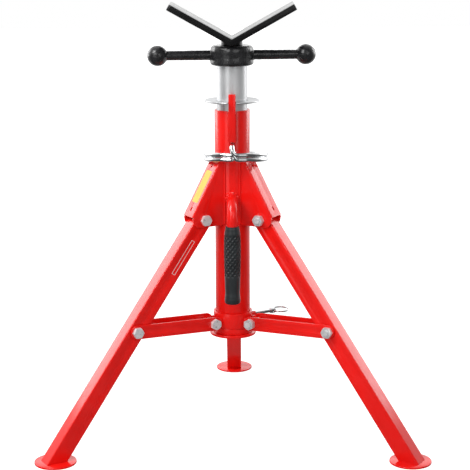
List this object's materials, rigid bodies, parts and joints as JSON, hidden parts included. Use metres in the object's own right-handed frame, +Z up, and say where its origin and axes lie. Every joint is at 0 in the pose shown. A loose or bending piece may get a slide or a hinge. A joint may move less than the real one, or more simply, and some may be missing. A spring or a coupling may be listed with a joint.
{
  "type": "pipe jack stand",
  "caption": "Folding tripod pipe stand: round mast, square hinged legs with braces, sliding inner tube with ring pin, ball-handled screw nut and V-shaped pipe cradle.",
  "frame": {"origin": "on the mast axis at floor level, under the middle of the three feet", "axes": "+Z up along the mast, -Y towards the carry handle, +X to the right seen from the handle side"},
  "size_m": [0.6664, 0.5864, 0.7525],
  "materials": {
    "red_paint": "gloss",
    "bolt_zinc": "zinc plated",
    "nut_zinc": "zinc plated",
    "grip_rubber": "moulded with a diamond texture",
    "pin_zinc": "zinc plated",
    "ring_chrome": "bright",
    "tube_zinc": "satin zinc",
    "cast_black": "rough cast, black",
    "screw_steel": "black oxide",
    "black_paint": "semi-gloss black"
  },
  "bodies": {
    "mast": {"mast_tube": "red_paint", "stop_disc": "red_paint", "key_bar": "red_paint", "bracket_left": "red_paint", "bracket_right": "red_paint", "bracket_rear": "red_paint", "leg_bolt_left": "bolt_zinc", "leg_bolt_right": "bolt_zinc", "leg_bolt_rear": "bolt_zinc", "leg_nut_left": "nut_zinc", "leg_nut_right": "nut_zinc", "leg_nut_rear": "nut_zinc", "handle_rod": "red_paint", "hand_grip": "grip_rubber"},
    "leg_left": {"leg_left": "red_paint", "foot_left": "red_paint"},
    "leg_right": {"leg_right": "red_paint", "foot_right": "red_paint"},
    "leg_rear": {"leg_rear": "red_paint", "foot_rear": "red_paint"},
    "collar": {"collar": "red_paint", "lock_boss": "red_paint", "collar_bolt_left": "bolt_zinc", "collar_bolt_right": "bolt_zinc", "collar_bolt_rear": "bolt_zinc", "collar_nut_left": "nut_zinc", "collar_nut_right": "nut_zinc", "collar_nut_rear": "nut_zinc"},
    "brace_left": {"brace_left": "red_paint", "brace_bolt_left": "bolt_zinc", "brace_nut_left": "nut_zinc"},
    "brace_right": {"brace_right": "red_paint", "brace_bolt_right": "bolt_zinc", "brace_nut_right": "nut_zinc"},
    "brace_rear": {"brace_rear": "red_paint", "brace_bolt_rear": "bolt_zinc", "brace_nut_rear": "nut_zinc"},
    "lock_pin": {"lock_pin": "pin_zinc"},
    "lock_ring": {"lock_ring": "pin_zinc"},
    "ring_pin": {"ring_pin": "ring_chrome", "ring_coil": "ring_chrome"},
    "inner_tube": {"inner_tube": "tube_zinc", "disc_flange": "tube_zinc"},
    "handle_nut": {"handle_nut": "cast_black"},
    "head": {"lift_screw": "screw_steel", "v_cradle": "black_paint"}
  },
  "joints": [
    {"name": "leg_rear_fold", "type": "hinge", "parent": "mast", "child": "leg_rear", "pos_m": [0, 0.0625, 0.388], "axis": [-1, 0, 0], "range_deg": [0, 32]},
    {"name": "leg_left_fold", "type": "hinge", "parent": "mast", "child": "leg_left", "pos_m": [-0.05413, -0.03125, 0.388], "axis": [0.5, -0.866, 0], "range_deg": [0, 32]},
    {"name": "leg_right_fold", "type": "hinge", "parent": "mast", "child": "leg_right", "pos_m": [0.05413, -0.03125, 0.388], "axis": [0.5, 0.866, 0], "range_deg": [0, 32]},
    {"name": "collar_slide", "type": "slide", "parent": "mast", "child": "collar", "axis": [0, 0, 1], "range_m": [0, 0.1101]},
    {"name": "brace_left_swing", "type": "hinge", "parent": "collar", "child": "brace_left", "pos_m": [-0.03897, -0.0225, 0.2016], "axis": [0.5, -0.866, 0], "range_deg": [0, 79.4]},
    {"name": "brace_right_swing", "type": "hinge", "parent": "collar", "child": "brace_right", "pos_m": [0.03897, -0.0225, 0.2016], "axis": [0.5, 0.866, 0], "range_deg": [0, 79.4]},
    {"name": "brace_rear_swing", "type": "hinge", "parent": "collar", "child": "brace_rear", "pos_m": [0, 0.045, 0.2016], "axis": [-1, 0, 0], "range_deg": [0, 79.4]},
    {"name": "tube_slide", "type": "slide", "parent": "mast", "child": "inner_tube", "axis": [0, 0, 1], "range_m": [0, 0.27]},
    {"name": "ring_pin_pull", "type": "slide", "parent": "mast", "child": "ring_pin", "axis": [0, -1, 0], "range_m": [0, 0.005]},
    {"name": "nut_turn", "type": "hinge", "parent": "inner_tube", "child": "handle_nut", "pos_m": [0, 0, 0.6648], "axis": [0, 0, -1], "range_deg": [0, 4500]},
    {"name": "head_lift", "type": "slide", "parent": "inner_tube", "child": "head", "axis": [0, 0, 1], "range_m": [0, 0.1001]},
    {"name": "lock_pin_push", "type": "slide", "parent": "collar", "child": "lock_pin", "axis": [-0.866, -0.5, 0], "range_m": [0, 0.0032]},
    {"name": "lock_ring_swing", "type": "hinge", "parent": "lock_pin", "child": "lock_ring", "pos_m": [0.07101, 0.041, 0.2045], "axis": [-0.5, 0.866, 0], "range_deg": [-70, 70]}
  ],
  "couplings": [
    {"joint": "leg_left_fold", "follows": "leg_rear_fold", "ratio": 1},
    {"joint": "leg_right_fold", "follows": "leg_rear_fold", "ratio": 1},
    {"joint": "collar_slide", "follows": "leg_rear_fold", "m_per_rad": 0.19695},
    {"joint": "brace_left_swing", "follows": "leg_rear_fold", "ratio": 2.4781},
    {"joint": "brace_right_swing", "follows": "leg_rear_fold", "ratio": 2.4781},
    {"joint": "brace_rear_swing", "follows": "leg_rear_fold", "ratio": 2.4781},
    {"joint": "head_lift", "follows": "nut_turn", "m_per_rad": 0.0012732}
  ]
}
